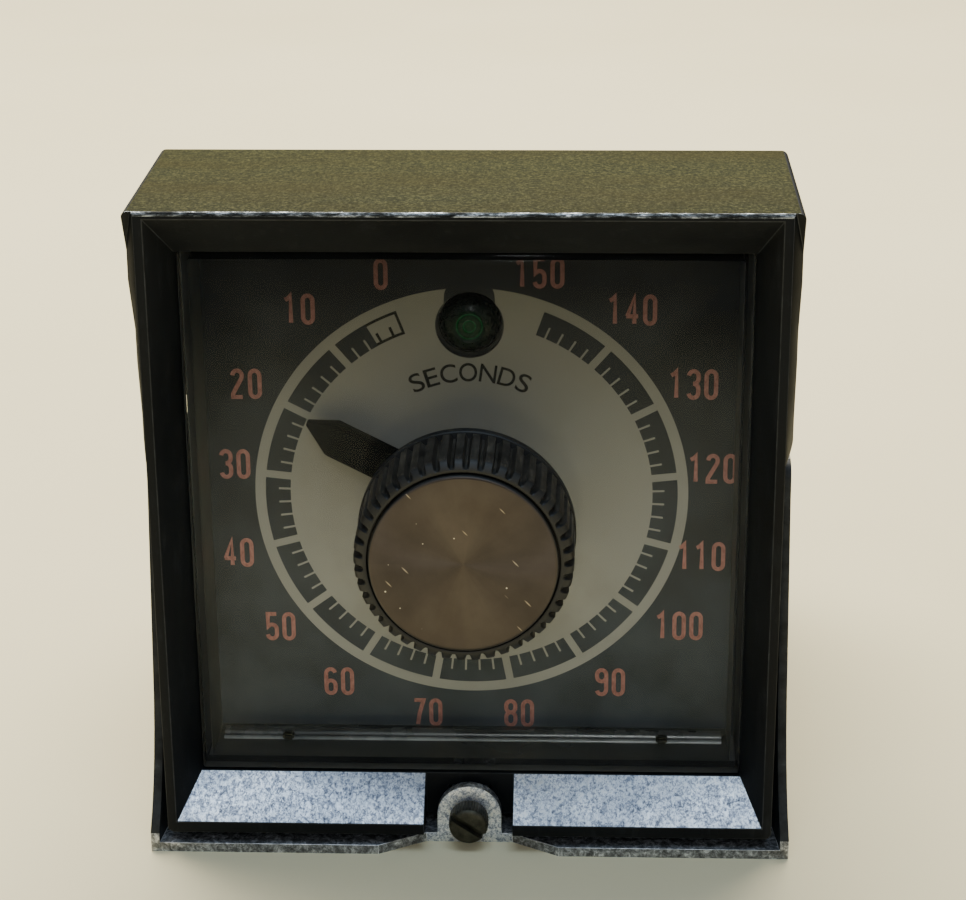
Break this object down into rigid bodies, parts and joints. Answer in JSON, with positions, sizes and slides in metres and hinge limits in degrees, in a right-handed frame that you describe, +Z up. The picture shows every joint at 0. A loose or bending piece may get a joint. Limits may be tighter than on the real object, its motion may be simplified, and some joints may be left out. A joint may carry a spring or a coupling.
{
  "type": "panel timer",
  "caption": "Square plug-in panel timer with a hooded bezel, printed round scale, fluted setting knob with a pointer, pilot lamp, and a case with rear screw terminals.",
  "frame": {"origin": "centre of the bounding box in plan, on the surface that the timer stands on", "axes": "+Z up, +X right seen from the front, +Y towards the rear terminals; the dial faces -Y"},
  "size_m": [0.094, 0.1142, 0.0978],
  "materials": {
    "enamel": "fine textured black enamel, rubbed on its edges",
    "zinc": "dull zinc plate",
    "clear_plastic": "clear moulded plastic",
    "printed_dial": "printed semi-gloss brown-black plate",
    "brass": "machined",
    "green_lens": "dark green moulded lens",
    "lamp_glass": "clear glass",
    "black_plastic": "moulded phenolic, satin",
    "bronze": "bronze anodised, spun face",
    "steel": "machined",
    "dark_steel": "dark oxide",
    "phenolic": "moulded brown-black phenolic",
    "coil_winding": "enamelled copper wire",
    "gasket_rubber": "moulded"
  },
  "bodies": {
    "case": {"timer_case": "enamel", "panel_gasket": "gasket_rubber", "terminal_block": "phenolic", "terminal_screw_1": "steel", "terminal_screw_2": "steel", "terminal_screw_3": "steel", "terminal_screw_4": "steel", "terminal_screw_5": "steel", "terminal_screw_6": "steel", "clamp_top": "zinc", "clamp_bottom": "zinc", "clamp_screw_top": "steel", "clamp_screw_bottom": "steel"},
    "timer_unit": {"bezel_hood": "enamel", "front_frame": "zinc", "window": "clear_plastic", "dial_plate": "printed_dial", "dial_standoff_1": "brass", "dial_standoff_2": "brass", "dial_standoff_3": "brass", "dial_standoff_4": "brass", "lamp_lens": "green_lens", "lamp_bulb": "lamp_glass", "lamp_socket": "black_plastic", "shaft_bushing": "brass", "movement_plate": "zinc", "movement_post_1": "steel", "movement_post_2": "steel", "movement_post_3": "steel", "movement_post_4": "steel", "motor": "steel", "clutch_coil": "coil_winding", "coil_yoke": "steel", "limit_switch_left": "phenolic", "limit_switch_right": "phenolic", "plug_board": "phenolic", "board_post_1": "steel", "board_post_2": "steel", "plug_blade_1": "brass", "plug_blade_2": "brass", "plug_blade_3": "brass", "plug_blade_4": "brass", "plug_blade_5": "brass", "plug_blade_6": "brass"},
    "setting": {"setting_knob": "black_plastic", "knob_disc": "bronze", "pointer": "black_plastic", "dial_shaft": "steel", "setting_gear": "brass", "switch_cam": "phenolic"},
    "idler": {"idler_gear": "brass"},
    "motor_output": {"motor_pinion": "steel"},
    "armature": {"armature": "steel"},
    "plunger_left": {"switch_plunger_left": "brass"},
    "plunger_right": {"switch_plunger_right": "brass"},
    "screw_clip": {"screw_clip": "steel"},
    "captive_screw": {"captive_screw": "dark_steel"}
  },
  "joints": [
    {"name": "unit_withdraw", "type": "slide", "parent": "case", "child": "timer_unit", "axis": [0, -1, 0], "range_m": [0, 0.075]},
    {"name": "setting_turn", "type": "hinge", "parent": "timer_unit", "child": "setting", "pos_m": [0, -0.03115, 0.0493], "axis": [0, -1, 0], "range_deg": [-42.76, 277.94]},
    {"name": "idler_turn", "type": "hinge", "parent": "timer_unit", "child": "idler", "pos_m": [-0.018, -0.00595, 0.02785], "axis": [0, -1, 0], "range_deg": [-1025, 160]},
    {"name": "motor_turn", "type": "hinge", "parent": "timer_unit", "child": "motor_output", "pos_m": [0.00268, 0.00205, 0.0315], "axis": [0, -1, 0], "range_deg": [-400, 2560]},
    {"name": "armature_pull", "type": "hinge", "parent": "timer_unit", "child": "armature", "pos_m": [-0.02775, -0.01065, 0.067], "axis": [0, 0, 1], "range_deg": [0, 5], "stiffness_Nm_per_rad": 0.02, "springref_deg": -5.73},
    {"name": "plunger_left_travel", "type": "slide", "parent": "timer_unit", "child": "plunger_left", "axis": [-1, 0, 0], "range_m": [0, 0.0012], "stiffness_N_per_m": 150, "springref_m": -0.001},
    {"name": "plunger_right_travel", "type": "slide", "parent": "timer_unit", "child": "plunger_right", "axis": [1, 0, 0], "range_m": [0, 0.0012], "stiffness_N_per_m": 150, "springref_m": -0.001},
    {"name": "screw_travel", "type": "slide", "parent": "timer_unit", "child": "screw_clip", "axis": [0, -1, 0], "range_m": [0, 0.00476]},
    {"name": "screw_turn", "type": "hinge", "parent": "screw_clip", "child": "captive_screw", "pos_m": [0, -0.04695, 0.0045], "axis": [0, -1, 0], "range_deg": [0, 2160]}
  ],
  "couplings": [
    {"joint": "idler_turn", "follows": "setting_turn", "ratio": -3.6667},
    {"joint": "motor_turn", "follows": "setting_turn", "ratio": 9.1667},
    {"joint": "screw_turn", "follows": "screw_travel", "rad_per_m": 7915.8}
  ]
}
